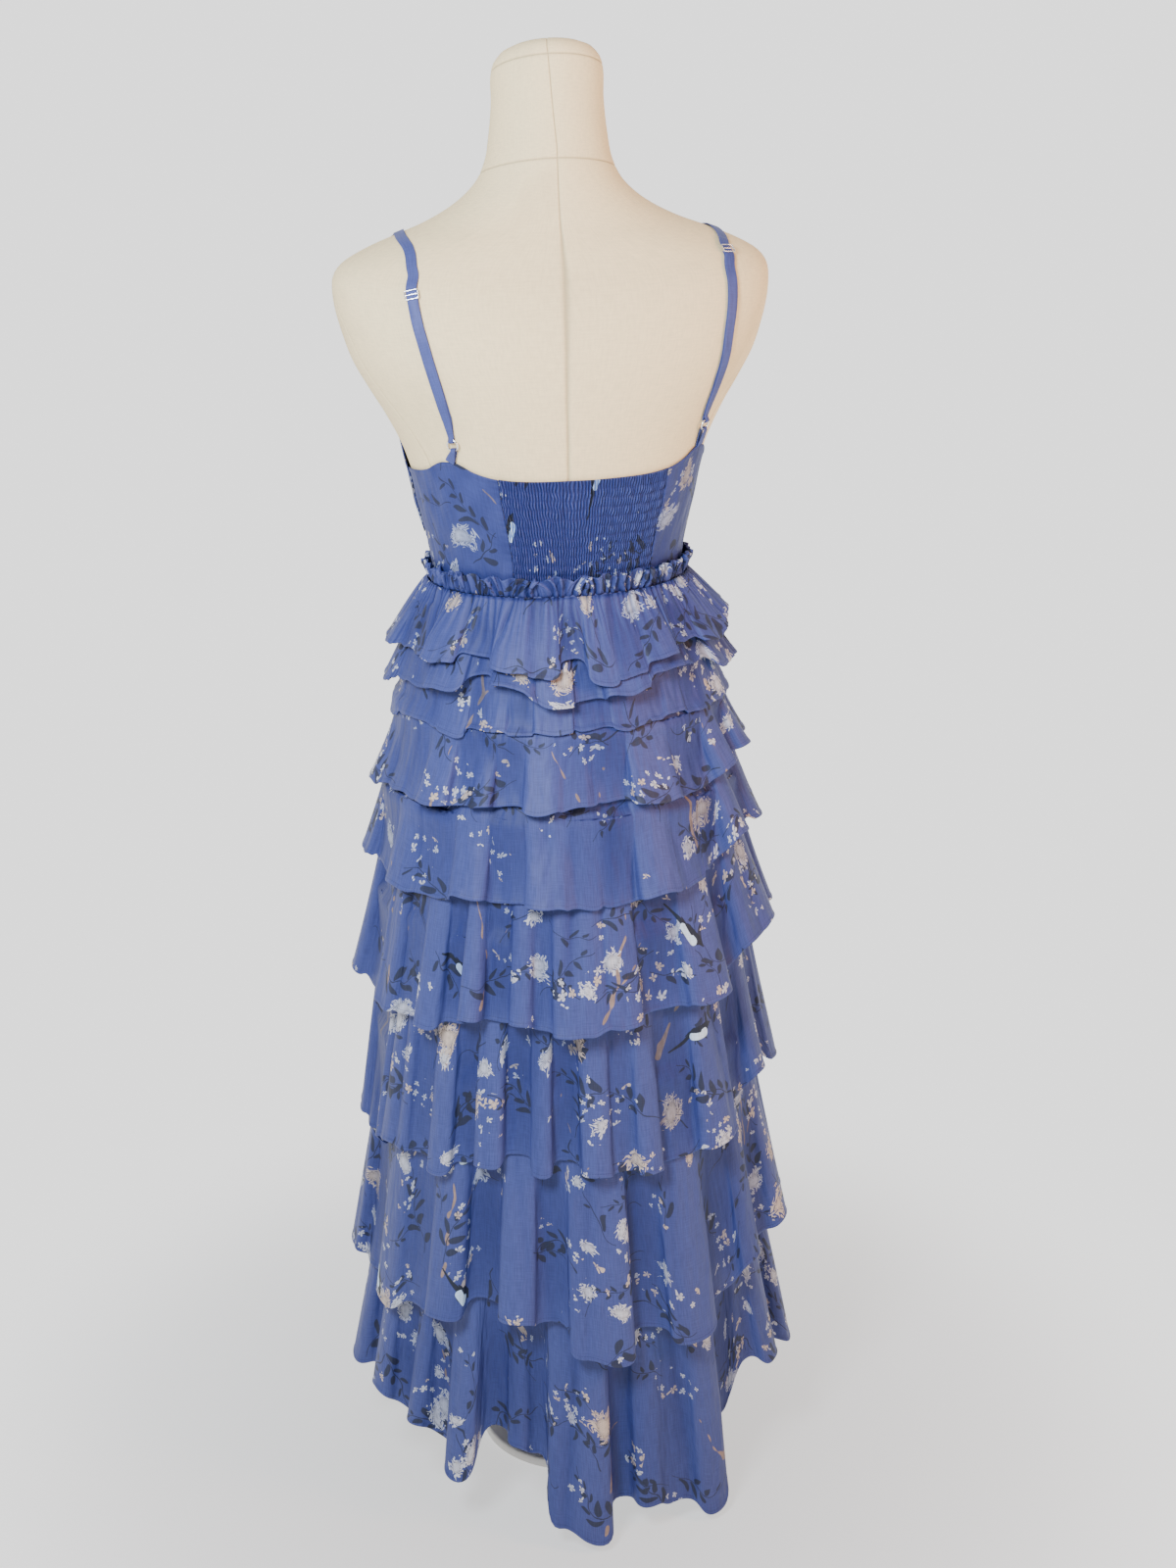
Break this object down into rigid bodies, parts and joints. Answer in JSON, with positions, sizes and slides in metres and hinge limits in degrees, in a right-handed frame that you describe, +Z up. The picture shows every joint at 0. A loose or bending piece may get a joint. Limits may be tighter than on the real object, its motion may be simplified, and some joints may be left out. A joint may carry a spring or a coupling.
{
  "type": "tiered ruffle midi dress on a limbless dress form",
  "caption": "Thin-strap midi dress with a smocked back and a skirt of gathered ruffle tiers, worn by a limbless linen dress form on a round stand.",
  "frame": {"origin": "centre of the stand base's underside, on the floor under the form's pole", "axes": "+Z up, +Y out of the dress's back, -Y out of its front, +X the wearer's left"},
  "size_m": [0.4709, 0.4694, 1.466],
  "materials": {
    "printed_cloth": "light printed cotton, soft sheen",
    "form_linen": "matte cream linen",
    "bright_metal": "polished",
    "stand_paint": "satin"
  },
  "bodies": {
    "root": {"back_smocked": "printed_cloth", "back_side_left": "printed_cloth", "back_side_right": "printed_cloth", "front_midriff": "printed_cloth", "front_cup_left": "printed_cloth", "front_cup_right": "printed_cloth", "waist_heading": "printed_cloth", "skirt_base": "printed_cloth", "ruffle_1": "printed_cloth", "ruffle_2": "printed_cloth", "ruffle_3": "printed_cloth", "ruffle_4": "printed_cloth", "ruffle_5": "printed_cloth", "ruffle_6": "printed_cloth", "ruffle_7": "printed_cloth", "ruffle_8": "printed_cloth", "ruffle_9": "printed_cloth", "strap_left": "printed_cloth", "strap_right": "printed_cloth", "strap_tab_left": "printed_cloth", "strap_tab_right": "printed_cloth", "strap_ring_left": "bright_metal", "strap_ring_right": "bright_metal", "strap_slider_left": "bright_metal", "strap_slider_right": "bright_metal", "dress_form": "form_linen", "stand_base": "stand_paint", "stand_pole": "stand_paint"}
  },
  "joints": []
}
